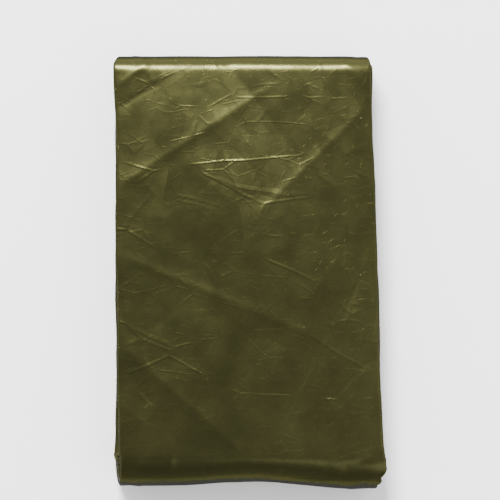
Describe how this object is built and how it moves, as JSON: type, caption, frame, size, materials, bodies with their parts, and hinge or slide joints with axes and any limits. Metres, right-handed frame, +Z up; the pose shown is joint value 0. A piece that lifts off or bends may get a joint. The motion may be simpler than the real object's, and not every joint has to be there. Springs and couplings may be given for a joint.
{
  "type": "folded emergency foil blanket",
  "caption": "Thermal rescue blanket of olive metallised film, folded in halves to a flat pocket-size packet with rounded fold ends.",
  "frame": {"origin": "on the surface that the packet lies on, under the middle of its box", "axes": "+Y along the packet, away from the end with the one wide fold; +Z up, out of the face that the picture shows; +X across it"},
  "size_m": [0.0856, 0.1358, 0.0207],
  "materials": {
    "olive_film": "satin metallised film, dark olive with a faint golden sheen and fine creases"
  },
  "bodies": {
    "root": {"foil_blanket": "olive_film"}
  },
  "joints": []
}
